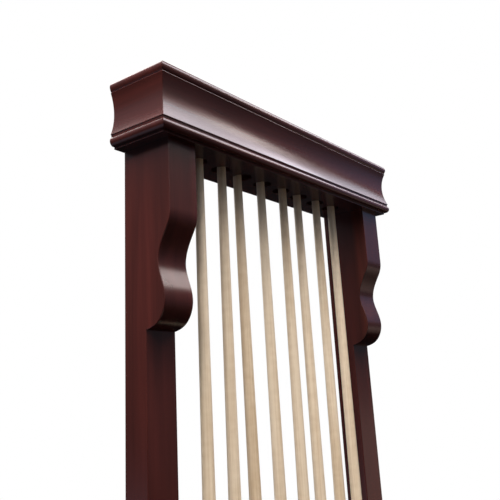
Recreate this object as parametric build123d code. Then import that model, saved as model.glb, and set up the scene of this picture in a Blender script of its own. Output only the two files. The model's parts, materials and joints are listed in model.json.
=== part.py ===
from build123d import *
import os

# Wall rack for eight billiard cues, with the cues standing in it.
# Millimetres. +X is to the right seen from the room, +Y points into the wall and +Z is up.
# The origin lies on the wall plane, at the centre of the rectangle of four hanger keyholes,
# which is also half way between the shelf below and the crown above.

# Driving dimensions of the frame
WIDTH = 602.0            # over the outer faces of the two posts
BAY_HEIGHT = 1420.0      # from the top of the shelf to the underside of the crown
POST_WIDTH = 55.5        # of a post and of the scrolled brackets on it, along X
POST_DEPTH = 41.5
BRACKET_HEIGHT = 262.0   # from the crown down to the foot of the scroll
BRACKET_DEPTH = 90.0     # from the wall to the straight front of a bracket
CORE_DEPTH = 80.0        # the front plane that the crown's profiles stand out from
PLATE_THICK = 17.0       # board with the holes above, and with the cups below
COVE_HEIGHT = 71.2
COVE_INNER = 4.0         # how far the back of the cove moulding stands out from the core planes
CAP_THICK = 16.0
BACK_THICK = 12.0
BLOCK_SIDE = 26.0        # short side of a triangular glue block
EDGE_EASE = 1.0
ARRIS = 0.5

# Driving dimensions of the cue places
CUE_COUNT = 8
CUE_PITCH = 55.5
CUE_ROW_Y = -47.5
HOLE_RADIUS = 16.0
CUP_RADIUS = 20.0
CUP_DEPTH = 10.0
RIM_EASE = 1.5
PAD_THICK = 2.0
PAD_RADIUS = 19.5

# Driving dimensions of a cue, measured from its butt end along its axis
CUE_LENGTH = 1473.0
CUE_LIFT_GAP = 0.3       # between the bumper and its felt pad
BUMPER_LENGTH = 12.0
BUTT_LENGTH = 430.0      # dark butt, up to the plane where it meets the maple shaft
BEND_AT = 988.0          # where the taper slackens
FERRULE_AT = 1440.0
TIP_AT = 1464.0
BUMPER_RADIUS = 13.2
BUTT_RADIUS = 14.75
BEND_RADIUS = 8.9
TIP_RADIUS = 6.9

# Where each cue leans: its axis at the top of the bay and its butt end, as X, Y shifts
# from the centres of its hole and its cup.
CUE_LEANS = (
    ((1.2, -1.5), (-1.4, 1.8)),
    ((0.8, -1.0), (-1.6, 2.1)),
    ((-5.0, 6.4), (0.1, -0.1)),
    ((-1.9, 2.5), (1.5, -1.9)),
    ((1.4, -1.8), (2.3, -3.0)),
    ((-1.8, 2.3), (1.4, -1.8)),
    ((0.7, -1.0), (0.8, -1.0)),
    ((0.6, -0.8), (0.6, -0.8)),
)

# Driving dimensions of the hardware
HANGER_Z = 590.0         # height of the upper keyholes, and depth of the lower ones
HANGER_SIZE = (50.0, 18.0, 2.5)
KEYHOLE_RADIUS = 5.0
KEYHOLE_SLOT = (5.0, 12.0)
POCKET_SIZE = (12.0, 30.0, 9.0)
SCREW_OFFSET = 19.5
SCREW_RADIUS = 1.75
SCREW_LENGTH = 20.0
SCREW_HEAD = (3.6, 2.2)
DOWEL_RADIUS = 5.0
DOWEL_SHY = 0.05         # radial room for glue
POST_DOWELS_Y = (-12.0, -30.0, -68.0)
POST_DOWEL_REACH = (25.0, 13.0)
BRACKET_DOWELS_Z = (60.0, 220.0)
BRACKET_DOWEL_REACH = 17.0

# Worked out from them
HALF_BAY = BAY_HEIGHT / 2
POST_X = (WIDTH - POST_WIDTH) / 2
PLATE_TOP = HALF_BAY + PLATE_THICK
COVE_TOP = PLATE_TOP + COVE_HEIGHT
CUE_XS = [(i - (CUE_COUNT - 1) / 2) * CUE_PITCH for i in range(CUE_COUNT)]
SIDES = (("left", -1), ("right", 1))


# Edge profiles. u runs outwards from the core planes and v up from the board's underside,
# and the inner edge of each face lies "inner" behind the core plane.

def plate_profile(inner):
    """Bullnose over a small set-back fillet."""
    edge = Polyline((-inner, PLATE_THICK), (-inner, 0), (19.5, 0), (19.5, 3.5), (23.5, 3.5))
    edge += ThreePointArc((23.5, 3.5), (28, 10), (25.5, PLATE_THICK))
    edge += Line((25.5, PLATE_THICK), (-inner, PLATE_THICK))
    face = make_face(edge)
    arrises = [v for v in face.vertices() if v.Y < 1 < v.X or v.X > 23]
    return fillet(arrises, ARRIS)


def cove_profile(inner):
    """Shallow cove over a quirk, with a chamfered upper arris."""
    edge = Polyline((-inner, COVE_HEIGHT), (-inner, 0), (25.5, 0), (25.5, 3), (27, 3.8))
    edge += ThreePointArc((27, 3.8), (20.5, 36.8), (27, 69.8))
    edge += Polyline((27, 69.8), (26.2, COVE_HEIGHT), (-inner, COVE_HEIGHT))
    return make_face(edge)


def cap_profile(inner):
    """Full nose, rounded under to the cove and over to the flat top."""
    edge = Polyline((-inner, CAP_THICK), (-inner, 0), (26, 0))
    edge += ThreePointArc((26, 0), (27.96, 3.4), (28.8, 8))
    edge += ThreePointArc((28.8, 8), (26.4, 13.8), (22.3, CAP_THICK))
    edge += Line((22.3, CAP_THICK), (-inner, CAP_THICK))
    return make_face(edge)


def board(profile, underside):
    """Board with one profile along its front and both ends, mitred at the corners."""
    front = Plane(origin=(0, -CORE_DEPTH, underside), x_dir=(0, -1, 0), z_dir=(-1, 0, 0))
    end = Plane(origin=(WIDTH / 2, 0, underside), x_dir=(1, 0, 0), z_dir=(0, -1, 0))
    along_x = extrude(front * profile(CORE_DEPTH), WIDTH, both=True)
    half = extrude(end * profile(WIDTH / 2), 2 * CORE_DEPTH)
    return along_x & (half + mirror(half, Plane.YZ))


def prism(points, low, high):
    return Pos(0, 0, low) * extrude(make_face(Polyline(*points, close=True)), high - low)


def coves():
    """Front, left and right pieces of the cove moulding, cut along the mitres."""
    inner_width = WIDTH + 2 * COVE_INNER
    inner_depth = CORE_DEPTH + COVE_INNER
    hollow = Box(inner_width, 2 * inner_depth, 4 * COVE_HEIGHT)
    ring = board(cove_profile, PLATE_TOP) - Pos(0, 0, PLATE_TOP) * hollow
    x, y, reach = WIDTH / 2, -CORE_DEPTH, 60
    front = prism(((-x, y), (x, y), (x + reach, y - reach), (-x - reach, y - reach)), PLATE_TOP, COVE_TOP)
    right = prism(((x, y), (x + reach, y - reach), (x + reach, 0), (x, 0)), PLATE_TOP, COVE_TOP)
    return {"front": ring & front, "left": ring & mirror(right, Plane.YZ), "right": ring & right}


def glue_blocks():
    """Triangular blocks in the four inner corners of the moulding."""
    x, front, back = WIDTH / 2 + COVE_INNER, -CORE_DEPTH - COVE_INNER, -BACK_THICK
    corners = []
    for side in (-1, 1):
        for y, inwards in ((front, 1), (back, -1)):
            tips = ((side * x, y), (side * (x - BLOCK_SIDE), y), (side * x, y + inwards * BLOCK_SIDE))
            corners.append(prism(tips, PLATE_TOP, COVE_TOP - 8))
    return Compound(children=corners)


def rims(solid, radius):
    """Circular edges of the given radius."""
    return [e for e in solid.edges().filter_by(GeomType.CIRCLE) if abs(e.radius - radius) < 0.01]


# Joinery and hardware, each with a "grow" that turns it into the cutter for its own hole

def post_dowels(grow=0.0):
    """Upright dowels that join the posts and brackets to the boards above and below."""
    down, up = POST_DOWEL_REACH
    dowels = []
    for side in (-1, 1):
        for end in (-1, 1):
            for y in POST_DOWELS_Y:
                middle = end * (HALF_BAY + (up - down) / 2)
                pin = Cylinder(DOWEL_RADIUS - DOWEL_SHY + grow, up + down + grow)
                dowels.append(Pos(side * POST_X, y, middle) * pin)
    return Compound(children=dowels)


def bracket_dowels(grow=0.0):
    """Level dowels that join each bracket to its post."""
    dowels = []
    for side in (-1, 1):
        for end in (-1, 1):
            for below in BRACKET_DOWELS_Z:
                place = Pos(side * POST_X, -POST_DEPTH, end * (HALF_BAY - below))
                pin = Cylinder(DOWEL_RADIUS - DOWEL_SHY + grow, 2 * BRACKET_DOWEL_REACH + grow)
                dowels.append(place * Rot(90, 0, 0) * pin)
    return Compound(children=dowels)


def hanger_planes():
    """Planes on the rear faces of the posts, their normals pointing into the wood."""
    places = [(x * POST_X, z * HANGER_Z) for x in (-1, 1) for z in (-1, 1)]
    return [Plane(origin=(x, 0, z), x_dir=(1, 0, 0), z_dir=(0, -1, 0)) for x, z in places]


def screw(grow=0.0):
    """Countersunk cross-head wood screw, its head level with z = 0."""
    radius, sink = SCREW_HEAD
    head = Pos(0, 0, sink / 2) * Cone(radius + grow, SCREW_RADIUS + grow, sink)
    shank = Pos(0, 0, SCREW_LENGTH / 2) * Cylinder(SCREW_RADIUS + grow, SCREW_LENGTH + grow)
    body = head + shank
    if grow == 0.0:
        body -= Box(3.6, 0.8, 2.4) + Box(0.8, 3.6, 2.4)
    return body


def hanger_screws(grow=0.0):
    ends = (-SCREW_OFFSET, SCREW_OFFSET)
    return Compound(children=[p * Pos(0, y, 0) * screw(grow) for p in hanger_planes() for y in ends])


def hanger_plates():
    """Steel plates with a keyhole: a round mouth for the screw head and a slot above it."""
    length, width, thick = HANGER_SIZE
    slot_width, slot_reach = KEYHOLE_SLOT
    outline = SlotOverall(length, width, rotation=90) - Circle(KEYHOLE_RADIUS)
    outline -= Pos(0, slot_reach / 2) * Rectangle(slot_width, slot_reach)
    outline -= Pos(0, slot_reach) * Circle(slot_width / 2)
    plate = extrude(outline, thick)
    for y in (-SCREW_OFFSET, SCREW_OFFSET):
        plate -= Pos(0, y, 0) * screw(DOWEL_SHY)
    return Compound(children=[p * plate for p in hanger_planes()])


def hanger_pockets():
    """Recess for each plate, and the deeper pocket that the wall screw's head moves in."""
    length, width, thick = HANGER_SIZE
    pocket_width, pocket_height, pocket_depth = POCKET_SIZE
    recess = extrude(SlotOverall(length + 0.4, width + 0.4, rotation=90), thick + 0.1)
    pocket = Pos(0, KEYHOLE_SLOT[1] / 2, pocket_depth / 2) * Box(pocket_width, pocket_height, pocket_depth)
    return Compound(children=[p * (recess + pocket) for p in hanger_planes()])


# Frame pieces

def post(side):
    """Post, its front arrises eased only on the length between the two brackets."""
    bare = 2 * (HALF_BAY - BRACKET_HEIGHT)
    middle = Box(POST_WIDTH, POST_DEPTH, bare)
    end = Box(POST_WIDTH, POST_DEPTH, BRACKET_HEIGHT, align=(Align.CENTER, Align.CENTER, Align.MIN))
    rear = end.edges().filter_by(Axis.Z).group_by(Axis.Y)[-1]
    end = Pos(0, 0, bare / 2) * fillet(rear, EDGE_EASE)
    middle = fillet(middle.edges().filter_by(Axis.Z), EDGE_EASE)
    blank = Pos(side * POST_X, -POST_DEPTH / 2, 0) * (middle + end + mirror(end, Plane.XY))
    blank -= hanger_pockets() + hanger_screws(DOWEL_SHY)
    return blank - post_dowels(DOWEL_SHY) - bracket_dowels(DOWEL_SHY)


def upper_bracket(side):
    """Scrolled bracket: straight front, waist, round lobe, then back under to the post."""
    waist, lobe, foot = (-65.6, -170.6), (-77.1, -224.7), (-POST_DEPTH, -BRACKET_HEIGHT)
    front_end = (-BRACKET_DEPTH, -101.3)
    outline = Polyline(foot, (-POST_DEPTH, 0), (-BRACKET_DEPTH, 0), front_end)
    shoulder, underside = (-78.2, -134.5), (-65, -252)
    scroll = (front_end, shoulder, waist, lobe, underside, foot)
    outline += Spline(*scroll, tangents=[(0, -1), (1, -0.15)])
    profile = Plane(origin=(side * POST_X, 0, HALF_BAY), x_dir=(0, 1, 0), z_dir=(1, 0, 0))
    blank = extrude(profile * make_face(outline), POST_WIDTH / 2, both=True)
    sawn = blank.edges().filter_by(Axis.X, reverse=True)
    fronts = [e for e in sawn if e.center().Y < -POST_DEPTH - 1 and e.center().Z < HALF_BAY - 1]
    return fillet(fronts, EDGE_EASE) - post_dowels(DOWEL_SHY) - bracket_dowels(DOWEL_SHY)


def cue_plate():
    """Upper board, drilled through for the cue tips."""
    blank = board(plate_profile, HALF_BAY)
    for x in CUE_XS:
        blank -= Pos(x, CUE_ROW_Y, HALF_BAY) * Cylinder(HOLE_RADIUS, 4 * PLATE_THICK)
    return fillet(rims(blank, HOLE_RADIUS), RIM_EASE) - post_dowels(DOWEL_SHY)


def base_shelf():
    """Lower board, with a round cup for each cue butt."""
    blank = mirror(board(plate_profile, HALF_BAY), Plane.XY)
    for x in CUE_XS:
        blank -= Pos(x, CUE_ROW_Y, -HALF_BAY) * Cylinder(CUP_RADIUS, 2 * CUP_DEPTH)
    mouths = [e for e in rims(blank, CUP_RADIUS) if e.center().Z > -HALF_BAY - CUP_DEPTH / 2]
    return fillet(mouths, RIM_EASE) - post_dowels(DOWEL_SHY)


def cup_pads():
    middle = -HALF_BAY - CUP_DEPTH + PAD_THICK / 2
    return Compound(children=[Pos(x, CUE_ROW_Y, middle) * Cylinder(PAD_RADIUS, PAD_THICK) for x in CUE_XS])


def back_board():
    middle = (PLATE_TOP + COVE_TOP) / 2
    return Pos(0, -BACK_THICK / 2, middle) * Box(WIDTH + 2 * COVE_INNER, BACK_THICK, COVE_HEIGHT)


# Cues

def turned(*outline):
    """Solid of revolution about Z from (radius, height) points, closed along the axis."""
    low, high = outline[0][1], outline[-1][1]
    face = Plane.XZ * make_face(Polyline((0, low), *outline, (0, high), close=True))
    return revolve(face, Axis.Z)


def radius_at(height):
    """Taper of the wood: one slope up to BEND_AT and a slacker one above it."""
    if height < BEND_AT:
        share = (height - BUMPER_LENGTH) / (BEND_AT - BUMPER_LENGTH)
        return BUTT_RADIUS + share * (BEND_RADIUS - BUTT_RADIUS)
    share = (height - BEND_AT) / (CUE_LENGTH - BEND_AT)
    return BEND_RADIUS + share * (TIP_RADIUS - BEND_RADIUS)


def cue_pieces():
    """The pieces of one cue, standing on the origin."""
    def span(*heights):
        return turned(*[(radius_at(h), h) for h in heights])

    bumper = turned((BUMPER_RADIUS - 2, 0), (BUMPER_RADIUS, 2), (BUTT_RADIUS - 0.4, BUMPER_LENGTH))
    ferrule = span(FERRULE_AT, TIP_AT)
    tip = turned((radius_at(TIP_AT), TIP_AT), (TIP_RADIUS, TIP_AT + 5), (TIP_RADIUS - 1.6, CUE_LENGTH - 1.2),
                 (TIP_RADIUS - 4, CUE_LENGTH))
    return {
        "bumper": bumper,
        "butt": span(BUMPER_LENGTH, BUTT_LENGTH),
        "shaft": span(BUTT_LENGTH, BEND_AT, FERRULE_AT),
        "tip": Compound(children=[ferrule, tip]),
    }


def cue_planes():
    """Each cue's axis, from the middle of its butt end up through its hole."""
    start = -HALF_BAY - CUP_DEPTH + PAD_THICK + CUE_LIFT_GAP
    planes = []
    for x, ((top_x, top_y), (butt_x, butt_y)) in zip(CUE_XS, CUE_LEANS):
        foot = Vector(x + butt_x, CUE_ROW_Y + butt_y, start)
        head = Vector(x + top_x, CUE_ROW_Y + top_y, HALF_BAY)
        planes.append(Plane(origin=foot, z_dir=head - foot))
    return planes


def all_nodes():
    nodes = {"cue_plate": cue_plate(), "base_shelf": base_shelf(), "cup_pads": cup_pads()}
    crown = {f"{place}_cove": piece for place, piece in coves().items()}
    crown |= {"cap": board(cap_profile, COVE_TOP), "back": back_board(), "glue_blocks": glue_blocks()}
    for name, piece in crown.items():
        nodes[f"crown_{name}"] = piece
        nodes[f"base_{name}"] = mirror(piece, Plane.XY)
    for name, side in SIDES:
        nodes[f"{name}_post"] = post(side)
        bracket = upper_bracket(side)
        nodes[f"upper_{name}_bracket"] = bracket
        nodes[f"lower_{name}_bracket"] = mirror(bracket, Plane.XY)
    nodes |= {"post_dowels": post_dowels(), "bracket_dowels": bracket_dowels()}
    nodes |= {"hanger_plates": hanger_plates(), "hanger_screws": hanger_screws()}
    pieces = cue_pieces()
    for number, plane in enumerate(cue_planes(), start=1):
        for name, piece in pieces.items():
            nodes[f"cue_{number}_{name}"] = plane * piece
    return nodes


os.makedirs("parts", exist_ok=True)
for node, shape in all_nodes().items():
    export_step(shape, f"parts/{node}.step")
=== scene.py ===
# Wall rack for billiard cues, in lacquered mahogany-stained wood, with the cues standing in it.
# Metres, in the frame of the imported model: +X to the right, +Y into the wall, +Z up.

import json
from math import asin, cos, pi, radians, sin

import bmesh
import bpy
from mathutils import Matrix, Vector


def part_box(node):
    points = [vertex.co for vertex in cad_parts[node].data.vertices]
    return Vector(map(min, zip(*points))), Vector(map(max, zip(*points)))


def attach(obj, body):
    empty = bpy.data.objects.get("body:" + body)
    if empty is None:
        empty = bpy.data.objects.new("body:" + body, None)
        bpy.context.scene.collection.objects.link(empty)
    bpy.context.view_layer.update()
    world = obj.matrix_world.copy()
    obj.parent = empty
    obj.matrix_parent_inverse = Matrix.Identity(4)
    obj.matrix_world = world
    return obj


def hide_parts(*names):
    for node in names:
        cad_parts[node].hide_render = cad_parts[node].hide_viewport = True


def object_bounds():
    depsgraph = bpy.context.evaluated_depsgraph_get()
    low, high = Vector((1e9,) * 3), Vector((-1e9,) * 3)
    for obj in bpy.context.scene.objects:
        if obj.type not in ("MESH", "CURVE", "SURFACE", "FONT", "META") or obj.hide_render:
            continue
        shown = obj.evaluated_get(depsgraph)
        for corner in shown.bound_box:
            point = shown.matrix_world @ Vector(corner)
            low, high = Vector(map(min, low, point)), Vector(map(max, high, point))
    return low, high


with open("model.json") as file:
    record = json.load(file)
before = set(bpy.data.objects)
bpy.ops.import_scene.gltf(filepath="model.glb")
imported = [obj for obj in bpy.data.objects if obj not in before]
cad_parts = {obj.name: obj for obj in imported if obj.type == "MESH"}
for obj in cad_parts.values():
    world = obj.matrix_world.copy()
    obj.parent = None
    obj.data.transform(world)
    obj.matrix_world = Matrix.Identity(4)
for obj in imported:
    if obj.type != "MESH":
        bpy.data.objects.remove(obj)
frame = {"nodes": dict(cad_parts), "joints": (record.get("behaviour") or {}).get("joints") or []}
cad_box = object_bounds()
scene = bpy.context.scene


# Camera: close below the crown's left front corner, looking up along the row of cues.

lens = bpy.data.cameras.new("camera")
lens.lens = 50.76
lens.shift_y = -0.1004
lens.clip_start = 0.01
camera = bpy.data.objects.new("camera", lens)
camera.location = (-0.96535, -0.72939, 0.33817)
camera.rotation_euler = (radians(106.644), radians(3.042), radians(-51.955))
scene.collection.objects.link(camera)
scene.camera = camera


# Studio: a white room that dims towards the ground, a pale floor some way below the rack, and soft
# lights. The overhead and left lights shade the boards, and those on the right make the highlights
# along the coves and across the scrolls.

def srgb(hex_colour):
    """Linear RGBA from an sRGB hex colour."""
    channels = [int(hex_colour[i:i + 2], 16) / 255 for i in (1, 3, 5)]
    return [c / 12.92 if c <= 0.04045 else ((c + 0.055) / 1.055) ** 2.4 for c in channels] + [1.0]


def add_node(tree, kind, inputs=(), **settings):
    """A node with its settings; each input is given a value or linked from another node's output."""
    new = tree.nodes.new(kind)
    for name, value in settings.items():
        setattr(new, name, value)
    for name, value in dict(inputs).items():
        if isinstance(value, bpy.types.NodeSocket):
            tree.links.new(value, new.inputs[name])
        else:
            new.inputs[name].default_value = value
    return new


scene.view_settings.view_transform = "Standard"
world = bpy.data.worlds.new("white_room")
scene.world = world
world.use_nodes = True
sky = world.node_tree
sky.nodes.clear()
seen_by = add_node(sky, "ShaderNodeLightPath")
towards = add_node(sky, "ShaderNodeTexCoord").outputs["Object"]
upwards = add_node(sky, "ShaderNodeSeparateXYZ", {"Vector": towards}).outputs["Z"]
dimming = add_node(sky, "ShaderNodeMapRange", {"Value": upwards, "From Min": -0.3, "From Max": 0.2,
                                               "To Min": 0.012, "To Max": 0.155}).outputs[0]
room_light = add_node(sky, "ShaderNodeBackground", {"Color": srgb("#e6ebf6"), "Strength": dimming})
backdrop = add_node(sky, "ShaderNodeBackground", {"Color": (1, 1, 1, 1), "Strength": 1.0})
either = add_node(sky, "ShaderNodeMixShader", {0: seen_by.outputs["Is Camera Ray"],
                                               1: room_light.outputs[0], 2: backdrop.outputs[0]})
add_node(sky, "ShaderNodeOutputWorld", {"Surface": either.outputs[0]})


def soft_light(name, place, size, power, colour, aim=(0, 0, 0.4)):
    """Rectangular area light at place, facing aim."""
    lamp = bpy.data.lights.new(name, "AREA")
    lamp.shape = "RECTANGLE"
    lamp.size, lamp.size_y = size
    lamp.energy = power
    lamp.color = srgb(colour)[:3]
    light = bpy.data.objects.new(name, lamp)
    light.location = place
    light.rotation_euler = (Vector(aim) - Vector(place)).to_track_quat("-Z", "Y").to_euler()
    scene.collection.objects.link(light)


soft_light("left_skylight", (-2.21, -0.31, 2.41), (2.8, 1.6), 81, "#fffdfa")
soft_light("left_overhead_softbox", (-1.0, -0.4, 3.2), (1.3, 1.3), 83, "#fffdfa")
soft_light("front_overhead_softbox", (-0.28, -0.98, 3.28), (1.2, 1.2), 84, "#fffdfb")
soft_light("front_overhead_left", (-1.3, -1.3, 2.9), (1.2, 1.2), 1.6, "#e7f4ff")
soft_light("right_front_softbox", (1.25, -1.4, 2.6), (1.2, 1.0), 21.5, "#faf8ff")
soft_light("scroll_softbox", (1.80, -1.35, 2.05), (0.4, 0.4), 5.2, "#fff0ea")
soft_light("right_end_softbox", (1.9, -0.6, 2.6), (1.0, 1.0), 14, "#f8f5ff")
soft_light("right_softbox", (2.4, -0.55, 2.2), (0.8, 0.8), 6, "#eeefff")
soft_light("far_right_fill", (2.9, -1.35, 1.4), (1.0, 1.0), 1.1, "#93b5ff")
soft_light("front_right_fill", (2.2, -1.9, 0.8), (1.8, 1.8), 0.5, "#b5d6ff")
soft_light("low_right_fill", (2.7, -1.6, -0.1), (0.8, 0.8), 1.2, "#ffd8c8", aim=(0, 0, 0.2))
soft_light("front_left_fill", (-1.3, -2.4, 1.6), (1.6, 1.6), 2.6, "#d2e9ff")
soft_light("rear_left_softbox", (-1.75, 1.2, 2.5), (2.2, 2.2), 4.2, "#e8ecff")
soft_light("front_low_fill", (0.2, -1.9, -1.3), (1.4, 1.4), 8.5, "#fff0e2")
soft_light("rear_softbox", (0.3, 2.6, 2.8), (2.0, 2.0), 60, "#fffdfa", aim=(0, 0, 0.1))
soft_light("low_left_fill", (-1.5, 1.2, -0.6), (1.4, 1.4), 3, "#dce2ff")


MM = 0.001


def plain_finish(name, colour, roughness, speckle, **extras):
    """One colour broken up by a faint speckle and relief, its grains this many millimetres across."""
    material = bpy.data.materials.new(name)
    material.use_nodes = True
    tree = material.node_tree
    shader = tree.nodes["Principled BSDF"]
    place = add_node(tree, "ShaderNodeTexCoord").outputs["Object"]
    grains = add_node(tree, "ShaderNodeTexNoise", {"Vector": place, "Scale": 1 / (speckle * MM),
                                                   "Detail": 3.0})
    tone = add_node(tree, "ShaderNodeMapRange", {"Value": grains.outputs["Fac"], "To Min": 0.8,
                                                 "To Max": 1.2})
    mixed = add_node(tree, "ShaderNodeMix", {0: 1.0, 6: srgb(colour), 7: tone.outputs[0]},
                     data_type="RGBA", blend_type="MULTIPLY")
    tree.links.new(mixed.outputs[2], shader.inputs["Base Color"])
    relief = add_node(tree, "ShaderNodeBump", {"Height": grains.outputs["Fac"], "Strength": 0.2,
                                               "Distance": speckle / 4 * MM})
    tree.links.new(relief.outputs[0], shader.inputs["Normal"])
    shader.inputs["Roughness"].default_value = roughness
    for socket, value in extras.items():
        shader.inputs[socket.replace("_", " ")].default_value = value
    return material


FLOOR_GAP = 0.35
FLOOR_REACH = 4.0
floor_mesh = bmesh.new()
bmesh.ops.create_grid(floor_mesh, x_segments=1, y_segments=1, size=FLOOR_REACH)
bmesh.ops.translate(floor_mesh, verts=floor_mesh.verts, vec=(0, 0, cad_box[0][2] - FLOOR_GAP))
floor_data = bpy.data.meshes.new("floor")
floor_mesh.to_mesh(floor_data)
floor_mesh.free()
floor = bpy.data.objects.new("floor", floor_data)
scene.collection.objects.link(floor)
floor.visible_diffuse = False    # the floor lights nothing, as if it lay far below
floor.visible_glossy = False
floor.data.materials.append(plain_finish("pale_floor_paint", "#dedcd8", 0.7, 4))


# Posts and scrolled brackets: solid boards of mahogany, sawn to shape, their arrises eased, glued
# and dowelled together, stained a deep red-brown and sprayed with satin lacquer. The grain runs
# upwards here and along the other boards, so each direction has its own material.

def features(across, along, axis):
    """Pattern scale per metre for features of these sizes in millimetres, long along one axis."""
    scale = [1 / (across * MM)] * 3
    scale[axis] = 1 / (along * MM)
    return scale


def stained_mahogany(name, axis, satin):
    """Mahogany with its grain along an axis. The pores barely show through the lacquer, which is
    this rough where it is smoothest, so that highlights stay clear and soft-edged."""
    material = bpy.data.materials.new(name)
    material.use_nodes = True
    tree = material.node_tree
    shader = tree.nodes["Principled BSDF"]
    place = add_node(tree, "ShaderNodeTexCoord").outputs["Object"]
    figure_place = add_node(tree, "ShaderNodeMapping", {"Vector": place,
                                                        "Scale": features(22.2, 400, axis)})
    figure = add_node(tree, "ShaderNodeTexNoise", {"Vector": figure_place.outputs[0], "Scale": 1.0,
                                                   "Detail": 2.0, "Distortion": 0.5})
    pore_place = add_node(tree, "ShaderNodeMapping", {"Vector": place,
                                                      "Scale": features(1.43, 45.5, axis)})
    pores = add_node(tree, "ShaderNodeTexNoise", {"Vector": pore_place.outputs[0], "Scale": 1.0,
                                                  "Detail": 2.0})
    cloud_place = add_node(tree, "ShaderNodeMapping", {"Vector": place, "Scale": features(91, 200, axis)})
    clouds = add_node(tree, "ShaderNodeTexNoise", {"Vector": cloud_place.outputs[0], "Scale": 1.0,
                                                   "Detail": 1.0})
    both = add_node(tree, "ShaderNodeMix", {0: 0.2, 2: figure.outputs["Fac"], 3: pores.outputs["Fac"]})
    stain = add_node(tree, "ShaderNodeValToRGB", {"Fac": both.outputs[0]})
    stain.color_ramp.elements[0].position = 0.3
    stain.color_ramp.elements[0].color = srgb("#391713")
    stain.color_ramp.elements[1].position = 0.7
    stain.color_ramp.elements[1].color = srgb("#4c1f1a")
    depth = add_node(tree, "ShaderNodeMapRange", {"Value": clouds.outputs["Fac"], "From Min": 0.3,
                                                  "From Max": 0.7, "To Min": 0.85, "To Max": 1.15})
    deepened = add_node(tree, "ShaderNodeMix", {0: 1.0, 6: stain.outputs["Color"], 7: depth.outputs[0]},
                        data_type="RGBA", blend_type="MULTIPLY")
    tree.links.new(deepened.outputs[2], shader.inputs["Base Color"])
    sheen = add_node(tree, "ShaderNodeMapRange", {"Value": pores.outputs["Fac"], "From Min": 0.3,
                                                  "From Max": 0.7, "To Min": satin, "To Max": satin + 0.02})
    tree.links.new(sheen.outputs[0], shader.inputs["Roughness"])
    grain_bump = add_node(tree, "ShaderNodeBump", {"Height": pores.outputs["Fac"], "Strength": 0.012,
                                                   "Distance": 0.2 * MM})
    tree.links.new(grain_bump.outputs[0], shader.inputs["Normal"])
    shader.inputs["IOR"].default_value = 1.45
    return material


mahogany = [stained_mahogany(f"satin_mahogany_grain_{axis}", i, 0.235) for i, axis in enumerate("xyz")]


def finish_node(name, material):
    """Give a carried-over CAD node its material."""
    mesh = frame["nodes"][name].data
    mesh.materials.clear()
    mesh.materials.append(material)


for name in frame["nodes"]:
    if name.endswith(("_post", "_bracket")):
        finish_node(name, mahogany[2])


# Cue plate above and shelf below: boards with a bullnose edge over a small fillet, drilled with
# the holes and the cups. The grain runs along the rack.

for name in ("cue_plate", "base_shelf"):
    finish_node(name, mahogany[0])


# Cove mouldings: three lengths above and three below, mitred where they meet. Each one rises
# from its plan outline, the corners stepping outwards and inwards with the profile.

ARRIS = 0.5 * MM
EASED_OVER = radians(24)      # sharper edges than this get an eased arris
SMOOTH_UNDER = radians(35)


def add_piece(name, mesh, materials, body, slot, *nodes):
    """Turn a bmesh into a finished piece that rides on a body and replaces CAD nodes."""
    data = bpy.data.meshes.new(name)
    bmesh.ops.recalc_face_normals(mesh, faces=mesh.faces)
    for face in mesh.faces:
        face.smooth = True
    mesh.to_mesh(data)
    mesh.free()
    data.set_sharp_from_angle(angle=SMOOTH_UNDER)
    for material in materials:
        data.materials.append(material)
    piece = bpy.data.objects.new(name, data)
    scene.collection.objects.link(piece)
    even = piece.modifiers.new("even_normals", "WEIGHTED_NORMAL")
    even.keep_sharp = True
    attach(piece, body)
    if nodes:
        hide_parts(*nodes)
    return piece


def arc(start, end, sagitta, steps):
    """Points of a flat arc from start to end, bowed to the left by its sagitta."""
    start, end = Vector(start), Vector(end)
    chord = end - start
    radius = (chord.length ** 2 / 4 + sagitta ** 2) / (2 * abs(sagitta))
    side = Vector((-chord.y, chord.x)).normalized() * (1 if sagitta > 0 else -1)
    centre = (start + end) / 2 + side * (abs(sagitta) - radius)
    half = asin(min(1, chord.length / 2 / radius))
    points = []
    for i in range(1, steps + 1):
        turn = half * (2 * i / steps - 1)
        points.append(centre + side * radius * cos(turn) + chord.normalized() * radius * sin(turn))
    return points


def raise_moulding(corners, profile, foot, way):
    """Solid that rises (way 1) or drops (way -1) from its foot through the steps of a profile.
    Each corner is a place in plan and how far it moves in X and Y per millimetre outwards."""
    mesh = bmesh.new()
    which = mesh.verts.layers.int.new("corner")

    def settle(vert, step):
        (x, y), (out_x, out_y) = corners[vert[which]]
        vert.co = Vector((x + out_x * step[0], y + out_y * step[0], foot + way * step[1])) * MM

    first = [mesh.verts.new() for _ in corners]
    for i, vert in enumerate(first):
        vert[which] = i
        settle(vert, profile[0])
    top = mesh.faces.new(first)
    for step in profile[1:]:
        grown = bmesh.ops.extrude_face_region(mesh, geom=[top])["geom"]
        if top.is_valid and step is not profile[1]:
            bmesh.ops.delete(mesh, geom=[top], context="FACES_ONLY")
        top = next(g for g in grown if isinstance(g, bmesh.types.BMFace))
        for vert in top.verts:
            settle(vert, step)
    bmesh.ops.recalc_face_normals(mesh, faces=mesh.faces)
    sharp = [e for e in mesh.edges if e.calc_face_angle(0) > EASED_OVER]
    bmesh.ops.bevel(mesh, geom=sharp, offset=ARRIS, affect="EDGES", segments=3, profile=0.5,
                    material=-1, clamp_overlap=True)
    return mesh


HALF_WIDTH = 301.0
CORE = 80.0
COVE_BACK = 4.0
cove_low, cove_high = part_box("crown_front_cove")
cap_low, cap_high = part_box("crown_cap")
COVE_FOOT = cove_low[2] / MM
CAP_FOOT = cap_low[2] / MM
COVE_HEIGHT = (cove_high[2] - cove_low[2]) / MM
CAP_HEIGHT = (cap_high[2] - cap_low[2]) / MM

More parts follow.
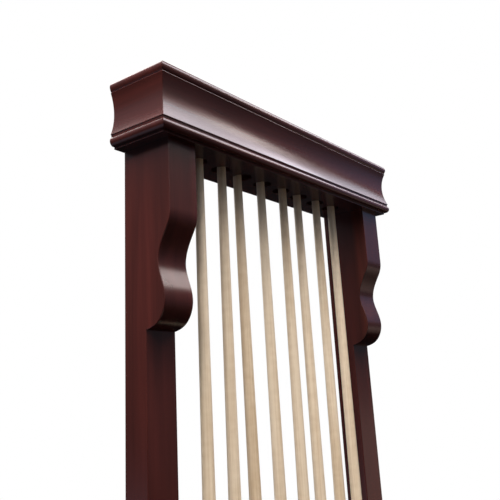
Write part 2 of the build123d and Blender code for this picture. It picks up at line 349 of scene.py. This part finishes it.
cove_profile = [(25.5, 0), (25.5, 3), (27, 3.8), *arc((27, 3.8), (27, 69.8), 6.5, 24),
                (26.2, COVE_HEIGHT)]
in_x, in_y = HALF_WIDTH + COVE_BACK, -CORE - COVE_BACK
cove_plans = {
    "front": [((-HALF_WIDTH, -CORE), (-1, -1)), ((HALF_WIDTH, -CORE), (1, -1)),
              ((in_x, in_y), (0, 0)), ((-in_x, in_y), (0, 0))],
    "left": [((-HALF_WIDTH, -CORE), (-1, -1)), ((-in_x, in_y), (0, 0)),
             ((-in_x, 0), (0, 0)), ((-HALF_WIDTH, 0), (-1, 0))],
    "right": [((HALF_WIDTH, -CORE), (1, -1)), ((HALF_WIDTH, 0), (1, 0)),
              ((in_x, 0), (0, 0)), ((in_x, in_y), (0, 0))],
}
for level, way in (("crown", 1), ("base", -1)):
    for place, plan in cove_plans.items():
        wood = mahogany[0] if place == "front" else mahogany[1]
        cove = raise_moulding(plan, cove_profile, way * COVE_FOOT, way)
        add_piece(f"{level}_{place}_cove_moulding", cove, [wood], "rack", "frame_wood",
                  f"{level}_{place}_cove")


# Caps: the boards that close the crown above and the base below, with a full round nose on three
# edges. The nose stands a little proud of the cove and is undercut where they meet.

cap_profile = [(26, 0), *arc((26, 0), (28.8, 8), -0.72, 6),
               *arc((28.8, 8), (22.3, CAP_HEIGHT), -1.8, 10)]
cap_plan = [((-HALF_WIDTH, -CORE), (-1, -1)), ((HALF_WIDTH, -CORE), (1, -1)),
            ((HALF_WIDTH, 0), (1, 0)), ((-HALF_WIDTH, 0), (-1, 0))]
for level, way in (("crown", 1), ("base", -1)):
    cap = raise_moulding(cap_plan, cap_profile, way * CAP_FOOT, way)
    add_piece(f"{level}_cap_board", cap, [mahogany[0]], "rack", "frame_wood", f"{level}_cap")


# Back boards and glue blocks, inside the crown and the base: stained with the rest but left
# unpolished, so they are matt.

bare_mahogany = stained_mahogany("matt_stained_mahogany", 0, 0.62)
for name in ("crown_back", "base_back", "crown_glue_blocks", "base_glue_blocks"):
    finish_node(name, bare_mahogany)


# Cue shafts: hard rock maple, turned to a long taper, sanded along its length and given a thin
# clear coat. The dark points of the butt are spliced into its lower end with a red veneer.

def pale_wood(name, dark, light, coat):
    """Pale timber: growth bands, fine fibres up Z and a faint curl across them, sanded smooth. It is
    nearly matt, and a thin coat only softens its highlight."""
    material = bpy.data.materials.new(name)
    material.use_nodes = True
    tree = material.node_tree
    shader = tree.nodes["Principled BSDF"]
    place = add_node(tree, "ShaderNodeTexCoord").outputs["Object"]
    band_place = add_node(tree, "ShaderNodeMapping", {"Vector": place, "Scale": features(28.6, 455, 2)})
    bands = add_node(tree, "ShaderNodeTexNoise", {"Vector": band_place.outputs[0], "Scale": 1.0,
                                                  "Detail": 2.0})
    fibre_place = add_node(tree, "ShaderNodeMapping", {"Vector": place, "Scale": features(2.38, 167, 2)})
    fibres = add_node(tree, "ShaderNodeTexNoise", {"Vector": fibre_place.outputs[0], "Scale": 1.0,
                                                   "Detail": 3.0})
    curl_place = add_node(tree, "ShaderNodeMapping", {"Vector": place, "Scale": features(16.7, 11.1, 2)})
    curl = add_node(tree, "ShaderNodeTexNoise", {"Vector": curl_place.outputs[0], "Scale": 1.0,
                                                 "Detail": 1.0})
    grain = add_node(tree, "ShaderNodeMix", {0: 0.45, 2: bands.outputs["Fac"], 3: fibres.outputs["Fac"]})
    figure = add_node(tree, "ShaderNodeMix", {0: 0.15, 2: grain.outputs[0], 3: curl.outputs["Fac"]})
    tone = add_node(tree, "ShaderNodeValToRGB", {"Fac": figure.outputs[0]})
    tone.color_ramp.elements[0].position = 0.32
    tone.color_ramp.elements[0].color = srgb(dark)
    tone.color_ramp.elements[1].position = 0.6
    tone.color_ramp.elements[1].color = srgb(light)
    tree.links.new(tone.outputs["Color"], shader.inputs["Base Color"])
    sanding = add_node(tree, "ShaderNodeBump", {"Height": fibres.outputs["Fac"], "Strength": 0.06,
                                                "Distance": 0.1 * MM})
    tree.links.new(sanding.outputs[0], shader.inputs["Normal"])
    shader.inputs["Roughness"].default_value = 0.42
    shader.inputs["Coat Weight"].default_value = coat
    shader.inputs["Coat Roughness"].default_value = 0.3
    return material


def polished_rosewood(name):
    """Dark rosewood: black streaks in a red-brown ground, deep under a clear gloss coat."""
    material = bpy.data.materials.new(name)
    material.use_nodes = True
    tree = material.node_tree
    shader = tree.nodes["Principled BSDF"]
    place = add_node(tree, "ShaderNodeTexCoord").outputs["Object"]
    streak_place = add_node(tree, "ShaderNodeMapping", {"Vector": place, "Scale": features(6.25, 200, 2)})
    streaks = add_node(tree, "ShaderNodeTexNoise", {"Vector": streak_place.outputs[0], "Scale": 1.0,
                                                    "Detail": 4.0, "Distortion": 1.2})
    tone = add_node(tree, "ShaderNodeValToRGB", {"Fac": streaks.outputs["Fac"]})
    tone.color_ramp.elements[0].position = 0.42
    tone.color_ramp.elements[0].color = srgb("#150a08")
    tone.color_ramp.elements[1].position = 0.62
    tone.color_ramp.elements[1].color = srgb("#4c1f12")
    tree.links.new(tone.outputs["Color"], shader.inputs["Base Color"])
    shader.inputs["Roughness"].default_value = 0.3
    shader.inputs["Coat Weight"].default_value = 1.0
    shader.inputs["Coat Roughness"].default_value = 0.06
    return material


maple = pale_wood("clear_coated_maple", "#cdb08c", "#efdabe", 0.25)
rosewood = polished_rosewood("polished_rosewood")
veneer = plain_finish("red_dyed_veneer", "#8a2a1c", 0.35, 0.6, Coat_Weight=0.6)
TURNED_SIDES = 64
BUMPER_LENGTH = 12.0        # heights are above the butt end
BUTT_TOP = 430.0
BEND_AT = 988.0
FERRULE_AT = 1440.0
TIP_AT = 1464.0
CUE_LENGTH = 1473.0
BUTT_RADIUS = 14.75
BEND_RADIUS = 8.9
TIP_RADIUS = 6.9
POINT_TOP = 720.0
VENEER_TOP = 732.0
POINTS = 4
SPLICE_TOP = 750.0          # the turned faces are cut along the points up to here
POINT_SPACE = 0.14          # radians of maple left beside each point's root
VENEER_SPACE = 0.02
CUES = range(1, 9)


def turned(profile):
    """Solid of revolution about Z from (radius, height) points in millimetres."""
    mesh = bmesh.new()
    verts = [mesh.verts.new((radius * MM, 0, height * MM)) for radius, height in profile]
    edges = [mesh.edges.new(pair) for pair in zip(verts, verts[1:])]
    bmesh.ops.spin(mesh, geom=verts + edges, cent=(0, 0, 0), axis=(0, 0, 1), dvec=(0, 0, 0), angle=2 * pi,
                   steps=TURNED_SIDES, use_merge=True, use_duplicate=False)
    bmesh.ops.remove_doubles(mesh, verts=mesh.verts, dist=1e-6)
    return mesh


def cue_axis(number):
    """Matrix that stands a piece turned about Z on its cue's butt end, leaning as the cue leans."""
    lift = next(j for j in frame["joints"] if j["child"] == f"cue_{number}")
    axis = Vector(lift["axis"]).normalized()
    low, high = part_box(f"cue_{number}_bumper")
    foot = (low + high) / 2 - axis * BUMPER_LENGTH / 2 * MM
    return Matrix.Translation(foot) @ axis.to_track_quat("Z", "Y").to_matrix().to_4x4()


def taper(height):
    """Radius of the wood at a height above the butt end."""
    if height < BEND_AT:
        up = (height - BUMPER_LENGTH) / (BEND_AT - BUMPER_LENGTH)
        return BUTT_RADIUS + up * (BEND_RADIUS - BUTT_RADIUS)
    up = (height - BEND_AT) / (CUE_LENGTH - BEND_AT)
    return BEND_RADIUS + up * (TIP_RADIUS - BEND_RADIUS)


def on_cue(angle, height):
    """Place on the tapered surface, before the cue is stood up."""
    return Vector((taper(height) * cos(angle), taper(height) * sin(angle), height)) * MM


def point_cuts(top, spread):
    """Planes that cut each spliced point out of the cone: (middle angle, place, outward normal)."""
    cuts = []
    for i in range(POINTS):
        middle = 2 * pi * i / POINTS
        for side in (-1, 1):
            tip, root = on_cue(middle, top), on_cue(middle + side * spread, BUTT_TOP)
            inwards = Vector((cos(middle + side * spread / 2), sin(middle + side * spread / 2), 0))
            normal = (root - tip).cross(inwards).normalized()
            if normal.dot(root - on_cue(middle, BUTT_TOP)) < 0:
                normal = -normal
            cuts.append((middle, tip, normal))
    return cuts


def turned_shaft():
    """Maple shaft as a turned solid, its faces cut and marked along the spliced points."""
    heights = [BUTT_TOP, SPLICE_TOP, BEND_AT, (BEND_AT + FERRULE_AT) / 2, FERRULE_AT]
    mesh = turned([(0, BUTT_TOP), *[(taper(h), h) for h in heights], (0, FERRULE_AT)])
    dark = point_cuts(POINT_TOP, pi / POINTS - POINT_SPACE)
    edged = point_cuts(VENEER_TOP, pi / POINTS - VENEER_SPACE)
    for middle, tip, normal in dark + edged:
        outward = Vector((cos(middle), sin(middle), 0))
        near = [f for f in mesh.faces if f.calc_center_median().z < (SPLICE_TOP + 1) * MM
                and abs(f.normal.z) < 0.5 and f.calc_center_median().dot(outward) > 0]
        parts = {e for f in near for e in f.edges} | {v for f in near for v in f.verts} | set(near)
        bmesh.ops.bisect_plane(mesh, geom=list(parts), plane_co=tip, plane_no=normal, dist=1e-7)

    def inside(face, cuts):
        """Whether a face lies within one of the points that these cuts outline."""
        centre = face.calc_center_median()
        for a, b in zip(cuts[::2], cuts[1::2]):
            ahead = centre.x * cos(a[0]) + centre.y * sin(a[0])
            if ahead > 0 and (centre - a[1]).dot(a[2]) < 0 and (centre - b[1]).dot(b[2]) < 0:
                return True
        return False

    for face in mesh.faces:
        if abs(face.normal.z) > 0.5:
            face.material_index = 1 if face.normal.z < 0 else 0
        elif inside(face, dark):
            face.material_index = 1
        elif inside(face, edged):
            face.material_index = 2
    return mesh


for number in CUES:
    shaft = turned_shaft()
    bmesh.ops.transform(shaft, matrix=cue_axis(number), verts=shaft.verts)
    add_piece(f"turned_shaft_{number}", shaft, [maple, rosewood, veneer], f"cue_{number}", "maple",
              f"cue_{number}_shaft")


# Butts: rosewood, turned with the shaft. A ring of ivory-coloured plastic divides the wood from the
# butt cap, which is moulded in a black plastic with a low gloss.

black_cap = plain_finish("black_moulded_plastic", "#0d0d0e", 0.22, 0.5)
ivory = plain_finish("ivory_plastic", "#d9d2bf", 0.18, 0.8, Coat_Weight=0.5)
CAP_TOP = 38.0
RING_TOP = 42.0
CAP_CHAMFER = 0.8
for number in CUES:
    heights = [CAP_TOP, RING_TOP, BUTT_TOP / 2, BUTT_TOP]
    foot_edge = BUMPER_LENGTH + CAP_CHAMFER
    butt = turned([(0, BUMPER_LENGTH), (taper(BUMPER_LENGTH) - CAP_CHAMFER, BUMPER_LENGTH),
                   (taper(foot_edge), foot_edge), *[(taper(h), h) for h in heights], (0, BUTT_TOP)])
    for face in butt.faces:
        height = face.calc_center_median().z / MM
        face.material_index = 1 if height < CAP_TOP else 2 if height < RING_TOP else 0
    bmesh.ops.transform(butt, matrix=cue_axis(number), verts=butt.verts)
    add_piece(f"turned_butt_{number}", butt, [rosewood, black_cap, ivory], f"cue_{number}", "butt_wood",
              f"cue_{number}_butt")


# Bumpers: moulded in soft black rubber, matt and slightly grainy, and screwed into the butt end,
# with a rounded foot and a groove below the butt cap.

rubber = plain_finish("black_moulded_rubber", "#141414", 0.6, 0.4)
for number in CUES:
    bumper = turned([(0, 0.4), (4, 0.4), (4.6, 0), *arc((9.5, 0), (13.4, 3.8), -1.6, 6), (13.9, 8.2),
                     (13.2, 9), (13.2, 9.8), (14.1, 10.4), (14.3, BUMPER_LENGTH), (0, BUMPER_LENGTH)])
    bmesh.ops.transform(bumper, matrix=cue_axis(number), verts=bumper.verts)
    add_piece(f"rubber_bumper_{number}", bumper, [rubber], f"cue_{number}", "bumper_rubber",
              f"cue_{number}_bumper")


# Ferrules and tips: a polished ivory-coloured collar, and on it a disc of pressed leather with
# burnished sides and a domed top, blue and matt with chalk. They stand inside the crown.

chalked_leather = plain_finish("chalked_leather", "#4e6f86", 0.9, 0.5)
burnished_leather = plain_finish("burnished_leather", "#5b3a22", 0.45, 0.5)
SIDE_TOP = 1468.5
for number in CUES:
    ferrule = turned([(0, FERRULE_AT), (taper(FERRULE_AT), FERRULE_AT), (taper(TIP_AT), TIP_AT),
                      (0, TIP_AT)])
    bmesh.ops.transform(ferrule, matrix=cue_axis(number), verts=ferrule.verts)
    add_piece(f"ferrule_{number}", ferrule, [ivory], f"cue_{number}", "ferrule", f"cue_{number}_tip")
    tip = turned([(0, TIP_AT), (6.8, TIP_AT), (6.9, TIP_AT + 2),
                  *arc((6.9, SIDE_TOP), (0, CUE_LENGTH), -1.0, 8)])
    for face in tip.faces:
        face.material_index = 1 if face.calc_center_median().z > SIDE_TOP * MM else 0
    bmesh.ops.transform(tip, matrix=cue_axis(number), verts=tip.verts)
    add_piece(f"leather_tip_{number}", tip, [burnished_leather, chalked_leather], f"cue_{number}",
              "ferrule")


# Cup pads: discs of pressed green wool felt in the cups of the shelf, die cut, with softened edges
# and slightly sunk in the middle. The felt is matt, with a faint bloom where it turns away.

felt = plain_finish("pressed_green_felt", "#1d4a31", 0.95, 0.7, Sheen_Weight=0.5, Sheen_Roughness=0.6)
PAD_RADIUS = 19.5
PAD_THICK = 2.0
pads_low, pads_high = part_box("cup_pads")
cup_pitch = (pads_high[0] - pads_low[0] - 2 * PAD_RADIUS * MM) / (len(CUES) - 1)
for number in CUES:
    pad = turned([(0, 0), (PAD_RADIUS - 0.4, 0), (PAD_RADIUS, 0.5), (PAD_RADIUS, 1.4),
                  (PAD_RADIUS - 0.7, PAD_THICK), (12, PAD_THICK - 0.1), (0, PAD_THICK - 0.25)])
    cup_x = pads_low[0] + PAD_RADIUS * MM + (number - 1) * cup_pitch
    place = Vector((cup_x, (pads_low[1] + pads_high[1]) / 2, pads_low[2]))
    bmesh.ops.translate(pad, verts=pad.verts, vec=place)
    felt_pad = add_piece(f"felt_pad_{number}", pad, [felt], "rack", "felt", "cup_pads")


# Dowels: turned beech, left plain, glued into the joints between posts, brackets, plate and shelf.
# They are hidden in the wood.

beech = pale_wood("plain_beech", "#b98a5e", "#d4ac7e", 0.0)
for name in ("post_dowels", "bracket_dowels"):
    finish_node(name, beech)


# Hangers: keyhole plates of pressed steel, brushed and zinc-plated to a soft grey sheen, let into
# the backs of the posts. Their countersunk screws are plated a yellower, brighter zinc.

zinc = plain_finish("brushed_zinc_plate", "#b4b6b3", 0.38, 0.4, Metallic=1.0, Anisotropic=0.5)
yellow_zinc = plain_finish("yellow_zinc_plate", "#b9a468", 0.32, 0.3, Metallic=1.0)
finish_node("hanger_plates", zinc)
finish_node("hanger_screws", yellow_zinc)
